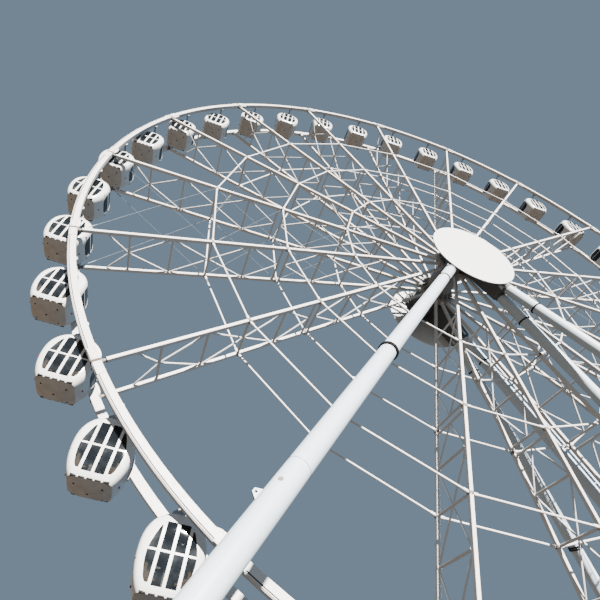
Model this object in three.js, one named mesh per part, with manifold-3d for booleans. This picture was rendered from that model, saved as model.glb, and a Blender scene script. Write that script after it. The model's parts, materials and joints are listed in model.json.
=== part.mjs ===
// A transportable giant wheel with closed egg cabins, at half its real size.
// Lengths are real millimetres, and the last group brings them to the model's scale.
// +Z is up, the axle runs along Y, and the front is towards -Y.
import * as THREE from "three";
import { ConvexGeometry } from "three/addons/geometries/ConvexGeometry.js";
import { mergeVertices } from "three/addons/utils/BufferGeometryUtils.js";
import Module from "manifold-3d";

const wasm = await Module();
wasm.setup();

// Scale and the gap that touching pieces keep
const MODEL_SCALE = 0.5;
const SEAT_GAP = 0.6;

// Wheel
const HUB_HEIGHT = 26600;
const RIM_RADIUS = 23500;
const RIM_OFFSET = 1240;
const RIM_WIDTH = 260;
const RIM_DEPTH = 360;
const SPOKE_COUNT = 18;
const CABINS_PER_BAY = 2;
const CABIN_COUNT = SPOKE_COUNT * CABINS_PER_BAY;
const SPOKE_STEP = (2 * Math.PI) / SPOKE_COUNT;
const CABIN_STEP = SPOKE_STEP / CABINS_PER_BAY;
const RIM_SEGMENTS = 2 * CABIN_COUNT;

// Spoke ladders: two chords, posts between them, and ties to the next spoke
const SPOKES_PER_SECTOR = 3;
const SECTOR_COUNT = SPOKE_COUNT / SPOKES_PER_SECTOR;
const CHORD_OFFSET = 1205;
const CHORD_RADIUS = 105;
const POST_RADIUS = 60;
const TIE_RADIUS = 55;
const TIE_RING_RADII = [0.331, 0.52, 0.708].map((share) => share * RIM_RADIUS);
const OUTER_POST_RADIUS = 0.888 * RIM_RADIUS;
const CHORD_SIDES = 6;
const POST_SIDES = 4;
const TIE_SIDES = 3;

// Hub and its shaft
const FLANGE_RADIUS = 1295;
const FLANGE_INNER = 1040;
const FLANGE_OUTER = 1440;
const BARREL_RADIUS = 850;
const SHAFT_RADIUS = 450;
const SHAFT_END = 2500;

// Heads at both ends of the shaft: a drum with two tapered shoulders, behind a plain round disc
const HEAD_INNER = 1500;
const HEAD_OUTER = 2940;
const DRUM_RADIUS = 1050;
const DRUM_FLANGE_RADIUS = 1500;
const DRUM_FLANGE = 90;
const SHOULDER_TOP = { along: 500, half: 600, near: 1560, far: 2860 };
const SHOULDER_END = { along: 3800, half: 300, near: 1680, far: 2860 };
const BORE_RADIUS = 460;
const BORE_END = SHAFT_END + SEAT_GAP;
const DISC_RADIUS = 2724;
const DISC_THICKNESS = 70;
const DISC_DROP = 1119;
const HEAD_SEGMENTS = 18;
const DISC_SEGMENTS = 30;

// Legs: a left and a right set, each tilted from the vertical in the wheel's plane
const OUTER_LEG_TILT = (29.6 * Math.PI) / 180;
const INNER_LEG_TILT = (30 * Math.PI) / 180;
const LEG_RADIUS = 308;
const LEG_FLANGE_RADIUS = 345;
const LEG_FLANGE_THICKNESS = 70;
const OUTER_LEG_START = 1900;
const OUTER_LEG_SPLAY = 0.197;
const INNER_LEG_START = 1965;
const INNER_LEG_SPLAY = 0;
const STUB_START = 700;
const STUB_END = 0.249 * RIM_RADIUS;
const MIDDLE_FLANGE = 0.689 * RIM_RADIUS;
const LOWER_COLLAR = 0.982 * RIM_RADIUS;
const COLLAR_RADIUS = 318;
const COLLAR_LENGTH = 80;
const LEG_SEGMENTS = 10;
const FOOT_SIDE = 1200;
const FOOT_THICKNESS = 80;

// Base under the feet and the boarding platform between its two halves
const BASE_HEIGHT = 500;
const BASE_NEAR_X = 13500;
const BASE_FAR_X = 16600;
const BASE_OVERHANG = 900;
const PLATFORM_WIDTH = 3800;

// Cabins: an egg outline seen from the front, with a pin that runs just over the roof
const PIVOT_RADIUS = 23385;
const PIN_RADIUS = 55;
const PIN_SIDES = 4;
const CABIN_DROP = 1425;
const CABIN_HALF_LENGTH = 1045;
const CABIN_HALF_WIDTH = 850;
const CABIN_HALF_HEIGHT = 1255;
const CABIN_FILLET = 220;
const EGG_WIDEST = 0.08;
const EGG_FOOT = 1.26;
const EGG_LOWER_ROUND = 2.19;
const EGG_UPPER_ROUND = 2.26;
const EGG_HEIGHTS = [-1, -0.85, -0.5, EGG_WIDEST, 0.5, 0.8, 0.95];
const HANGER_OFFSET = 560;
const HANGER_LENGTH = 260;
const HANGER_THICKNESS = 80;

// Materials, with colours from the photograph
const paint = (color, roughness, metalness) =>
  new THREE.MeshStandardMaterial({ color, roughness, metalness });
const structureWhite = paint(0xe9e5df, 0.45, 0.2);
const cabinWhite = paint(0xf4f3f1, 0.25, 0);
const discWhite = paint(0xf6f5f2, 0.35, 0);
const headGrey = paint(0x4d4b48, 0.55, 0.3);
const legWhite = paint(0xefece6, 0.4, 0.2);
const baseGrey = paint(0x8d8f90, 0.7, 0.1);

// A closed three.js geometry as a solid
function solid(geometry) {
  const bare = geometry.clone();
  bare.deleteAttribute("normal");
  bare.deleteAttribute("uv");
  const merged = mergeVertices(bare, 1e-3);
  const index = merged.index.array;
  const triangles = [];
  for (let i = 0; i < index.length; i += 3) {
    const [a, b, c] = [index[i], index[i + 1], index[i + 2]];
    if (a !== b && b !== c && c !== a) triangles.push(a, b, c);
  }
  return new wasm.Manifold(
    new wasm.Mesh({
      numProp: 3,
      vertProperties: new Float32Array(merged.attributes.position.array),
      triVerts: new Uint32Array(triangles),
    }),
  );
}

function join(solids) {
  return solids.reduce((whole, next) => whole.add(next));
}

// A named mesh of a solid
function piece(name, shape, material) {
  const { numProp, vertProperties, triVerts } = shape.getMesh();
  const geometry = new THREE.BufferGeometry();
  const positions = new Float32Array((vertProperties.length / numProp) * 3);
  for (let i = 0; i < positions.length / 3; i += 1) {
    positions.set(vertProperties.subarray(i * numProp, i * numProp + 3), i * 3);
  }
  geometry.setAttribute("position", new THREE.BufferAttribute(positions, 3));
  geometry.setIndex(new THREE.BufferAttribute(new Uint32Array(triVerts), 1));
  geometry.computeVertexNormals();
  const mesh = new THREE.Mesh(geometry, material);
  mesh.name = name;
  return mesh;
}

// A geometry made along +Y, laid from one point towards another
function lay(geometry, from, to) {
  const direction = to.clone().sub(from).normalize();
  const turn = new THREE.Quaternion().setFromUnitVectors(new THREE.Vector3(0, 1, 0), direction);
  geometry.applyQuaternion(turn);
  geometry.translate(from.x, from.y, from.z);
  return geometry;
}

function bar(from, to, radius, sides) {
  const length = from.distanceTo(to);
  const geometry = new THREE.CylinderGeometry(radius, radius, length, sides);
  geometry.translate(0, length / 2, 0);
  return solid(lay(geometry, from, to));
}

// A turned solid about Y from [radius, y] pairs, with a flat that faces +X
function turned(profile, segments) {
  const toCorner = 1 / Math.cos(Math.PI / segments);
  const points = profile.map(([radius, y]) => new THREE.Vector2(radius * toCorner, y));
  return new THREE.LatheGeometry(points, segments, Math.PI / 2 + Math.PI / segments);
}

function block(low, high) {
  const size = high.clone().sub(low);
  const centre = low.clone().add(high).multiplyScalar(0.5);
  const geometry = new THREE.BoxGeometry(size.x, size.y, size.z);
  geometry.translate(centre.x, centre.y, centre.z);
  return solid(geometry);
}

// A point of the wheel, measured from the hub's centre
function onWheel(angle, radius, y) {
  return new THREE.Vector3(radius * Math.cos(angle), y, radius * Math.sin(angle));
}

function rim(side) {
  const inner = RIM_RADIUS - RIM_DEPTH / 2;
  const outer = RIM_RADIUS + RIM_DEPTH / 2;
  const low = side * RIM_OFFSET - RIM_WIDTH / 2;
  const high = side * RIM_OFFSET + RIM_WIDTH / 2;
  const profile = [
    [inner, low],
    [outer, low],
    [outer, high],
    [inner, high],
    [inner, low],
  ];
  return solid(turned(profile, RIM_SEGMENTS));
}

function wheelHub() {
  const profile = [
    [0, -SHAFT_END],
    [SHAFT_RADIUS, -SHAFT_END],
    [SHAFT_RADIUS, -FLANGE_OUTER],
    [FLANGE_RADIUS, -FLANGE_OUTER],
    [FLANGE_RADIUS, -FLANGE_INNER],
    [BARREL_RADIUS, -FLANGE_INNER],
    [BARREL_RADIUS, FLANGE_INNER],
    [FLANGE_RADIUS, FLANGE_INNER],
    [FLANGE_RADIUS, FLANGE_OUTER],
    [SHAFT_RADIUS, FLANGE_OUTER],
    [SHAFT_RADIUS, SHAFT_END],
    [0, SHAFT_END],
  ];
  return solid(turned(profile, SPOKE_COUNT));
}

function chord(angle, side, radius) {
  const from = onWheel(angle, FLANGE_RADIUS + SEAT_GAP, side * CHORD_OFFSET);
  const to = onWheel(angle, RIM_RADIUS - RIM_DEPTH / 2 - SEAT_GAP, side * CHORD_OFFSET);
  return bar(from, to, radius, CHORD_SIDES);
}

function post(angle, radius) {
  const from = onWheel(angle, radius, -CHORD_OFFSET);
  const to = onWheel(angle, radius, CHORD_OFFSET);
  return bar(from, to, POST_RADIUS, POST_SIDES);
}

function tie(angle, radius, side) {
  const from = onWheel(angle, radius, side * CHORD_OFFSET);
  const to = onWheel(angle + SPOKE_STEP, radius, side * CHORD_OFFSET);
  return bar(from, to, TIE_RADIUS, TIE_SIDES);
}

// Three spokes, tied together, with ties that reach the next sector's first spoke
function spokeSector(index) {
  const bars = [];
  const sides = [-1, 1];
  for (let i = 0; i < SPOKES_PER_SECTOR; i += 1) {
    const angle = (index * SPOKES_PER_SECTOR + i) * SPOKE_STEP;
    for (const side of sides) {
      bars.push(chord(angle, side, CHORD_RADIUS));
      for (const radius of TIE_RING_RADII) bars.push(tie(angle, radius, side));
    }
    for (const radius of [...TIE_RING_RADII, OUTER_POST_RADIUS]) bars.push(post(angle, radius));
  }
  const nextAngle = (index + 1) * SPOKES_PER_SECTOR * SPOKE_STEP;
  const clearRadius = CHORD_RADIUS + (2 * SEAT_GAP) / Math.cos(Math.PI / CHORD_SIDES);
  const nextChords = sides.map((side) => chord(nextAngle, side, clearRadius));
  return nextChords.reduce((whole, next) => whole.subtract(next), join(bars));
}

// Half width of the egg outline at a height, both as shares of the cabin's half sizes
function eggWidth(height) {
  if (height < EGG_WIDEST) {
    return (1 - ((EGG_WIDEST - height) / EGG_FOOT) ** EGG_LOWER_ROUND) ** (1 / EGG_LOWER_ROUND);
  }
  return (1 - ((height - EGG_WIDEST) / (1 - EGG_WIDEST)) ** EGG_UPPER_ROUND) ** (1 / EGG_UPPER_ROUND);
}

// A cabin with its pin and hangers, measured from the pin's centre
function cabin() {
  const right = EGG_HEIGHTS.map((height) => [eggWidth(height), height]);
  const left = right.map(([width, height]) => [-width, height]).reverse();
  const outline = [...right, [0, 1], ...left].map(
    ([width, height]) => new THREE.Vector2(width * CABIN_HALF_LENGTH, height * CABIN_HALF_HEIGHT),
  );
  const body = new THREE.ExtrudeGeometry(new THREE.Shape(outline), {
    depth: 2 * (CABIN_HALF_WIDTH - CABIN_FILLET),
    bevelThickness: CABIN_FILLET,
    bevelSize: CABIN_FILLET,
    bevelOffset: -CABIN_FILLET,
    bevelSegments: 1,
  });
  body.translate(0, 0, CABIN_FILLET - CABIN_HALF_WIDTH);
  body.rotateX(Math.PI / 2);
  body.translate(0, 0, -CABIN_DROP);
  const pinEnd = RIM_OFFSET - RIM_WIDTH / 2 - SEAT_GAP;
  const pin = bar(
    new THREE.Vector3(0, -pinEnd, 0),
    new THREE.Vector3(0, pinEnd, 0),
    PIN_RADIUS,
    PIN_SIDES,
  );
  const hangers = [-1, 1].map((side) => {
    const near = side * HANGER_OFFSET - HANGER_THICKNESS / 2;
    return block(
      new THREE.Vector3(-HANGER_LENGTH / 2, near, -CABIN_DROP + CABIN_HALF_HEIGHT / 2),
      new THREE.Vector3(HANGER_LENGTH / 2, near + HANGER_THICKNESS, 2 * PIN_RADIUS),
    );
  });
  return join([solid(body), pin, ...hangers]);
}

// A point on a leg's axis; along is measured in the wheel's plane from the hub's centre
function onLeg(leg, along) {
  const y = leg.front * (leg.start + leg.splay * along);
  return new THREE.Vector3(
    leg.right * along * Math.sin(leg.tilt),
    y,
    HUB_HEIGHT - along * Math.cos(leg.tilt),
  );
}

// A round tube along a leg's axis, with rings round it; from, to and the rings' lengths are along values
function legTube(leg, from, to, rings) {
  const tube = bar(onLeg(leg, from), onLeg(leg, to), LEG_RADIUS, LEG_SEGMENTS);
  const collars = rings.map((ring) =>
    bar(onLeg(leg, ring.at), onLeg(leg, ring.at + ring.length), ring.radius, LEG_SEGMENTS),
  );
  return join([tube, ...collars]);
}

const outerLeg = (front, right) => ({
  front,
  right,
  tilt: OUTER_LEG_TILT,
  start: OUTER_LEG_START,
  splay: OUTER_LEG_SPLAY,
});
const innerLeg = (front, right) => ({
  front,
  right,
  tilt: INNER_LEG_TILT,
  start: INNER_LEG_START,
  splay: INNER_LEG_SPLAY,
});

const groundAlong = (leg) => (HUB_HEIGHT - BASE_HEIGHT) / Math.cos(leg.tilt);

// A tapered shoulder that joins a head's drum to one pair of legs
function shoulder(front, right) {
  const corners = [SHOULDER_TOP, SHOULDER_END].flatMap(({ along, half, near, far }) =>
    [-half, half].flatMap((across) =>
      [near, far].map((y) => {
        const x = right * (along * Math.sin(INNER_LEG_TILT) + across * Math.cos(INNER_LEG_TILT));
        const z = HUB_HEIGHT - along * Math.cos(INNER_LEG_TILT) + across * Math.sin(INNER_LEG_TILT);
        return new THREE.Vector3(x, front * y, z);
      }),
    ),
  );
  return solid(new ConvexGeometry(corners));
}

// A head with its drum, bearing bore, shoulders and the four leg stubs that are welded to it
function head(front) {
  const profile = [
    [0, BORE_END],
    [BORE_RADIUS, BORE_END],
    [BORE_RADIUS, HEAD_INNER],
    [DRUM_RADIUS, HEAD_INNER],
    [DRUM_RADIUS, HEAD_OUTER - DRUM_FLANGE],
    [DRUM_FLANGE_RADIUS, HEAD_OUTER - DRUM_FLANGE],
    [DRUM_FLANGE_RADIUS, HEAD_OUTER],
    [0, HEAD_OUTER],
  ];
  const drum = turned(profile, HEAD_SEGMENTS);
  if (front < 0) drum.rotateX(Math.PI);
  drum.translate(0, 0, HUB_HEIGHT);
  const arms = [-1, 1].flatMap((right) => [
    shoulder(front, right),
    ...[outerLeg(front, right), innerLeg(front, right)].map((side) =>
      legTube(side, STUB_START, STUB_END, [
        { at: STUB_END - LEG_FLANGE_THICKNESS, length: LEG_FLANGE_THICKNESS, radius: LEG_FLANGE_RADIUS },
      ]),
    ),
  ]);
  const shaftRoom = bar(
    new THREE.Vector3(0, front * (HEAD_INNER - SEAT_GAP), HUB_HEIGHT),
    new THREE.Vector3(0, front * BORE_END, HUB_HEIGHT),
    BORE_RADIUS / Math.cos(Math.PI / HEAD_SEGMENTS),
    HEAD_SEGMENTS,
  );
  return join([solid(drum), ...arms]).subtract(shaftRoom);
}

function disc(front) {
  const near = front * (HEAD_OUTER + SEAT_GAP);
  const far = front * (HEAD_OUTER + SEAT_GAP + DISC_THICKNESS);
  return bar(
    new THREE.Vector3(0, near, HUB_HEIGHT - DISC_DROP),
    new THREE.Vector3(0, far, HUB_HEIGHT - DISC_DROP),
    DISC_RADIUS,
    DISC_SEGMENTS,
  );
}

// A leg from its head's stub to the base, cut level at the foot
function leg(side) {
  const top = STUB_END + SEAT_GAP;
  const below = groundAlong(side) + FOOT_SIDE;
  const tube = legTube(side, top, below, [
    { at: top, length: LEG_FLANGE_THICKNESS, radius: LEG_FLANGE_RADIUS },
    { at: MIDDLE_FLANGE, length: 2 * LEG_FLANGE_THICKNESS, radius: LEG_FLANGE_RADIUS },
    { at: LOWER_COLLAR, length: COLLAR_LENGTH, radius: COLLAR_RADIUS },
  ]);
  const foot = onLeg(side, groundAlong(side));
  const level = BASE_HEIGHT + SEAT_GAP;
  const ground = block(
    new THREE.Vector3(-2 * BASE_FAR_X, -BASE_FAR_X, -2 * BASE_HEIGHT - FOOT_SIDE),
    new THREE.Vector3(2 * BASE_FAR_X, BASE_FAR_X, level),
  );
  const half = FOOT_SIDE / 2;
  const plate = block(
    new THREE.Vector3(foot.x - half, foot.y - half, level),
    new THREE.Vector3(foot.x + half, foot.y + half, level + FOOT_THICKNESS),
  );
  return tube.subtract(ground).add(plate);
}

function base(right) {
  const outer = outerLeg(1, 1);
  const footY = onLeg(outer, groundAlong(outer)).y;
  const reach = footY + BASE_OVERHANG;
  const [lowX, highX] = right > 0 ? [BASE_NEAR_X, BASE_FAR_X] : [-BASE_FAR_X, -BASE_NEAR_X];
  return block(new THREE.Vector3(lowX, -reach, 0), new THREE.Vector3(highX, reach, BASE_HEIGHT));
}

function platform() {
  const halfLength = BASE_NEAR_X - SEAT_GAP;
  const halfWidth = PLATFORM_WIDTH / 2;
  return block(
    new THREE.Vector3(-halfLength, -halfWidth, 0),
    new THREE.Vector3(halfLength, halfWidth, BASE_HEIGHT),
  );
}

// The turning wheel, measured from the hub's centre
const wheel = new THREE.Group();
wheel.position.z = HUB_HEIGHT;
wheel.add(piece("front_rim", rim(-1), structureWhite));
wheel.add(piece("rear_rim", rim(1), structureWhite));
wheel.add(piece("wheel_hub", wheelHub(), structureWhite));
for (let i = 0; i < SECTOR_COUNT; i += 1) {
  wheel.add(piece(`spoke_sector_${i + 1}`, spokeSector(i), structureWhite));
}
const cabinShape = cabin();
for (let i = 0; i < CABIN_COUNT; i += 1) {
  const hung = piece(`cabin_${String(i + 1).padStart(2, "0")}`, cabinShape, cabinWhite);
  hung.position.copy(onWheel((i + 0.5) * CABIN_STEP, PIVOT_RADIUS, 0));
  wheel.add(hung);
}

// The standing tower
const tower = new THREE.Group();
for (const [end, front] of [["front", -1], ["rear", 1]]) {
  tower.add(piece(`${end}_head`, head(front), headGrey));
  tower.add(piece(`${end}_disc`, disc(front), discWhite));
  for (const [hand, right] of [["left", -1], ["right", 1]]) {
    tower.add(piece(`${end}_${hand}_outer_leg`, leg(outerLeg(front, right)), legWhite));
    tower.add(piece(`${end}_${hand}_inner_leg`, leg(innerLeg(front, right)), legWhite));
  }
}
tower.add(piece("left_base", base(-1), baseGrey));
tower.add(piece("right_base", base(1), baseGrey));
tower.add(piece("boarding_platform", platform(), baseGrey));

const giantWheel = new THREE.Group();
giantWheel.scale.setScalar(MODEL_SCALE);
giantWheel.add(wheel, tower);

export default giantWheel;
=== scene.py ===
"""The looks of a transportable giant wheel with closed egg cabins, at half its real size.

Sizes are those of the real wheel, in metres, and REAL brings them to the model. Pieces of the wheel and the tower are
measured from the hub's centre, and a cabin's from its pin. The axle runs along Y and the front faces -Y.
"""
import json
import math

import bmesh
import bpy
import numpy as np
from mathutils import Matrix, Vector


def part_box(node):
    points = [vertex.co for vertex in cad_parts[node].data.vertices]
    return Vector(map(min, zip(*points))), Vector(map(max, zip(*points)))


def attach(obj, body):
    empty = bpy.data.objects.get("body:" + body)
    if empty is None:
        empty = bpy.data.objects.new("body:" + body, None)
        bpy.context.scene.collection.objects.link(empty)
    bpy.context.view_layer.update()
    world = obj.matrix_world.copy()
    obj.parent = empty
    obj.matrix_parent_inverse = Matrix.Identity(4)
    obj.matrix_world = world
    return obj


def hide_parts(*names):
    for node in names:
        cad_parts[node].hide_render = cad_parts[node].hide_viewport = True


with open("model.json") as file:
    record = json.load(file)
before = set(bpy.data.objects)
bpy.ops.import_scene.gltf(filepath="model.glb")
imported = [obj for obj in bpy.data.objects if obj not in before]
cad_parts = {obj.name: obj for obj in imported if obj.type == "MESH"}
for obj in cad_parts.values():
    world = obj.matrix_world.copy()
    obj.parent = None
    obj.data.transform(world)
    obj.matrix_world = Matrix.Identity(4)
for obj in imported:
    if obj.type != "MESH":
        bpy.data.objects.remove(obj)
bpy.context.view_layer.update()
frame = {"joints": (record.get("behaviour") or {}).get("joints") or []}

# The model's metres for each real metre, and the axle's place
REAL = 0.5
HUB = next(np.array(joint["pos_m"]) for joint in frame["joints"] if joint["name"] == "wheel_turn")
HUB_HEIGHT = HUB[2] / REAL

# Wheel
RIM_RADIUS = 23.5
RIM_OFFSET = 1.24
RIM_WIDTH = 0.26
RIM_DEPTH = 0.36
RIM_CHAMFER = 0.045
RIM_EASE = 0.012
RIM_GROOVE = (0.082, 0.118)
GROOVE_DEPTH = 0.06
SPLICE_GAP = 0.055
SPLICE_REACH = 0.62
RIM_STEPS = 216
SPOKES = 18
CABINS = 36
PIVOT_RADIUS = 23.385
SPOKE_STEP = 2 * math.pi / SPOKES
SECTORS = 6

# Spoke ladders; places along a spoke are shares of the rim's radius
CHORD_OFFSET = 1.205
CHORD_HALF = (0.076, 0.098)
CHORD_EASE = 0.014
CHORD_NECK = 0.22
POST_RADIUS = 0.06
DIAGONAL_RADIUS = 0.042
TIE_RADIUS = 0.048
CABLE_RADIUS = 0.008
CABLE_BAYS = (0, 9)
TIE_RINGS = (0.331, 0.52, 0.708)
POST_PLACES = (0.888, 0.797, 0.708, 0.615, 0.532, 0.513, 0.42, 0.331, 0.225)
CHORD_JOINTS = (0.331, 0.5225, 0.708)
# The diagonals' zigzags, between the middle of a post (0) and a chord (1)
ZIGZAGS = (
    ((0.935, 1), (0.888, 0), (0.797, 1), (0.708, 0), (0.615, 1), (0.532, 0)),
    ((0.513, 0), (0.42, 1), (0.331, 0), (0.225, 1)),
)
DIAGONALS = [pair for zigzag in ZIGZAGS for pair in zip(zigzag, zigzag[1:])]

# Hub
FLANGE_RADIUS = 1.295
FLANGE_INNER = 1.04
FLANGE_OUTER = 1.44
BARREL_RADIUS = 0.85
SHAFT_RADIUS = 0.45

# Heads
HEAD_INNER = 1.5
HEAD_OUTER = 2.94
DRUM_RADIUS = 1.05
DRUM_FLANGE_RADIUS = 1.5
DRUM_FLANGE = 0.09
SHOULDER_TILT = math.radians(30)
SHOULDER_TOP = dict(along=0.5, half=0.6, near=1.56, far=2.86)
SHOULDER_END = dict(along=3.8, half=0.3, near=1.68, far=2.86)
DISC_RADIUS = 2.724
DISC_THICKNESS = 0.07
DISC_DROP = 1.119
SEAT_GAP = 0.0006

# Legs
LEG_RADIUS = 0.308
LEG_FLANGE_RADIUS = 0.362
LEG_FLANGE = 0.1
FLANGE_GAP = 0.05
STUB_FLANGE = 0.036
STUB_FLANGE_RADIUS = 0.35
OUTER_LEG = dict(tilt=math.radians(29.6), start=1.9, splay=0.197)
INNER_LEG = dict(tilt=math.radians(30), start=1.965, splay=0.0)
STUB_START = 0.7
STUB_END = 0.249 * RIM_RADIUS
MIDDLE_FLANGE = 0.689 * RIM_RADIUS
LOWER_COLLAR = 0.982 * RIM_RADIUS
LUG_ALONG = 24.3
STOP_ALONG = 0.806 * RIM_RADIUS
PLUG_ALONG = 23.85
LADDER_TOP = 6.0
LADDER_HALF = 0.25
LADDER_TRAY = (0.38, 0.5)
LADDER_STEPS = 0.44
LADDER_RAILS = ((0.62, -0.3), (0.82, -0.36))
RUNG_RADIUS = 0.022
FOOT_SIDE = 1.2
FOOT_THICKNESS = 0.08
BASE_HEIGHT = 0.5

# Cabins
VENTS = 5
VENT_PITCH = 0.264
VENT_HEIGHT = -1.055
PIN_RADIUS = 0.055
CABIN_DROP = 1.425
CABIN_HALF = (1.045, 0.85, 1.255)
EGG_WIDEST = 0.08
EGG_FOOT = 1.26
EGG_LOWER_ROUND = 2.19
EGG_UPPER_ROUND = 2.26
PLAN_ROUND = 7.3
FACE_ROUND = 4.7
RING_EASE = 2.6
LAST_RING = 0.9999
FLOOR_SEAM = -1.08
FLOOR_SLOPE = 0.44
FLOOR_ROUND = 0.36
SHELL = 0.036
PANE_INSET = 0.008
PANE = 0.01
TRANSOM = 0.015
TRANSOM_WIDTH = 0.06
MULLIONS = (-0.42, 0.0, 0.42)
MULLION_WIDTH = 0.098
WINDOW_EDGE = ((-0.88, 0.47), (-0.85, 0.54), (-0.79, 0.6), (-0.69, 0.655), (-0.455, 0.715), (-0.25, 0.745),
               (0.0, 0.75), (0.2, 0.705), (0.41, 0.64), (0.6, 0.565), (0.75, 0.495), (0.82, 0.45), (0.85, 0.41))
DOOR_CENTRE = 0.14
DOOR_HALF = (0.58, 0.6)
DOOR_ROUND = 2.6
BEYOND = 9.0
DOOR_BAR = (0.09, 0.15)
HANGER_OFFSET = 0.56

# Cabin fittings, measured from the cabin's middle
LAMP_RADIUS = 0.035
VENT_HALF = 0.1
DRAINS = ((0, 0, 0.045), *((x, y, 0.034) for x in (-0.46, 0.46) for y in (-0.42, 0.42)))

# Camera, its place in rim radii from the hub's centre
CAMERA_PLACE = (-0.596, -0.6503, -1.0617)
CAMERA_RIGHT = (0.9529, -0.2816, 0.1127)
CAMERA_FORWARD = (0.1047, 0.654, 0.7492)
CAMERA_LENS = 25.997
CAMERA_SHIFT = (0.0427, 0.001)
CAMERA_SENSOR = 36
CAMERA_REACH = 500

# Stage and light; directions point to where the light comes from
FLOOR_HALF = 400.0
SUN_FROM = (0.07, -0.9, 0.43)
SUN_STRENGTH = 22
SUN_ANGLE = math.radians(1.5)
SUN_COLOR = (1.0, 0.97, 0.93)
BACKDROP = (0.17, 0.235, 0.31, 1)
SKY_LIGHT = (0.5, 0.74, 1.0, 1)
SKY_STRENGTH = 0.4
BRIGHT_SIDE = (0.55, 0.0, 0.83)
GROUND_LIGHT = (1.0, 0.84, 0.68, 1)
GROUND_STRENGTH = 0.26
LIGHT_BLEND = 0.3

AXLE = np.array([0.0, 1.0, 0.0])
CREASE = math.radians(38)
ENDS = (("front", -1), ("rear", 1))
HANDS = (("left", -1), ("right", 1))


class Form:
    """Points and faces gathered for one piece, in real metres."""

    def __init__(self):
        self.points = []
        self.faces = []
        self.finishes = []

    def face(self, corners, finish):
        self.faces.append(tuple(corners))
        self.finishes.append(finish)

    def loft(self, rings, finish=0, closed=False):
        """Skins rings of points in turn, and caps both ends unless the loft runs round. A list of finishes goes
        one to each side."""
        count = len(rings[0])
        finishes = finish if isinstance(finish, list) else [finish] * count
        first = len(self.points)
        self.points.extend(tuple(point) for ring in rings for point in ring)
        for i in range(len(rings) if closed else len(rings) - 1):
            near = first + i * count
            far = first + (i + 1) % len(rings) * count
            for j in range(count):
                k = (j + 1) % count
                self.face((near + j, near + k, far + k, far + j), finishes[j])
        if not closed:
            self.face(range(first + count - 1, first - 1, -1), finishes[0])
            last = first + (len(rings) - 1) * count
            self.face(range(last, last + count), finishes[0])

    def turned(self, start, end, profile, sides=12, finish=0):
        """A turned bar along the line from start to end, from (distance, radius) pairs."""
        along, across, up = square_to(np.subtract(end, start))
        turns = np.linspace(0, 2 * math.pi, sides, endpoint=False)
        circle = np.outer(np.cos(turns), across) + np.outer(np.sin(turns), up)
        self.loft([np.add(start, along * distance) + circle * radius for distance, radius in profile], finish)

    def tube(self, start, end, radius, sides=12, finish=0):
        self.turned(start, end, [(0, radius), (math.dist(start, end), radius)], sides, finish)

    def slab(self, outline, depth, finish=0, edge=0.0):
        """A flat plate from an outline of points and the vector of its thickness, its edges eased by a share."""
        outline = np.array(outline, float)
        centre = outline.mean(axis=0)
        eased = centre + (outline - centre) * (1 - edge)
        depth = np.array(depth, float)
        self.loft([eased, outline + depth * edge, outline + depth * (1 - edge), eased + depth], finish)

    def block(self, low, high, chamfer=0.01, finish=0):
        """An upright box whose edges are chamfered."""
        (x0, y0, z0), (x1, y1, z1) = low, high
        rings = []
        e = chamfer
        for z, inset in ((z0, e), (z0 + e, 0), (z1 - e, 0), (z1, e)):
            a, b, c, d = x0 + inset, x1 - inset, y0 + inset, y1 - inset
            rings.append([(a + e, c, z), (b - e, c, z), (b, c + e, z), (b, d - e, z),
                          (b - e, d, z), (a + e, d, z), (a, d - e, z), (a, c + e, z)])
        self.loft(rings, finish)

    def take(self, mesh, finish=0):
        """Adds the faces of a mesh."""
        first = len(self.points)
        self.points.extend(tuple(vertex.co) for vertex in mesh.vertices)
        for polygon in mesh.polygons:
            self.face((first + i for i in polygon.vertices), finish)

    def mesh(self, name, scale=REAL):
        made = bpy.data.meshes.new(name)
        made.from_pydata((np.array(self.points) * scale).tolist(), [], self.faces)
        made.polygons.foreach_set("material_index", self.finishes)
        work = bmesh.new()
        work.from_mesh(made)
        bmesh.ops.recalc_face_normals(work, faces=work.faces)
        work.to_mesh(made)
        work.free()
        return made


def mirrored(half, length):
    """The profile of a turned bar that is alike at both ends, from that of its first half."""
    return half + [(length - distance, radius) for distance, radius in reversed(half)]


def square_to(direction):
    """A unit vector along a direction, and two more that are square to it and to each other."""
    along = np.array(direction, float) / np.linalg.norm(direction)
    helper = (0, 0, 1) if abs(along[2]) < 0.9 else (1, 0, 0)
    across = np.cross(helper, along)
    across /= np.linalg.norm(across)
    return along, across, np.cross(along, across)


def new_object(name, data):
    made = bpy.data.objects.new(name, data)
    bpy.context.scene.collection.objects.link(made)
    return made


def piece(name, shape, finishes, body, replaces=(), place=HUB):
    """Makes an object of a form or a mesh, finished, smoothed and riding on its body."""
    mesh = shape.mesh(name) if isinstance(shape, Form) else shape
    if not mesh.materials:
        for finish in finishes:
            mesh.materials.append(finish)
        mesh.polygons.foreach_set("use_smooth", [True] * len(mesh.polygons))
        mesh.set_sharp_from_angle(angle=CREASE)
    made = new_object(name, mesh)
    made.location = place
    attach(made, body)
    if replaces:
        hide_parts(*replaces)


# Finishes


class Value:
    """A shader socket that takes part in sums."""

    def __init__(self, finish, socket):
        self.finish = finish
        self.socket = socket

    def maths(self, operation, *others):
        return self.finish.node("ShaderNodeMath", dict(operation=operation), list(others))

    def __add__(self, other):
        return self.maths("ADD", self, other)

    __radd__ = __add__

    def __mul__(self, other):
        return self.maths("MULTIPLY", self, other)

    __rmul__ = __mul__


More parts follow.
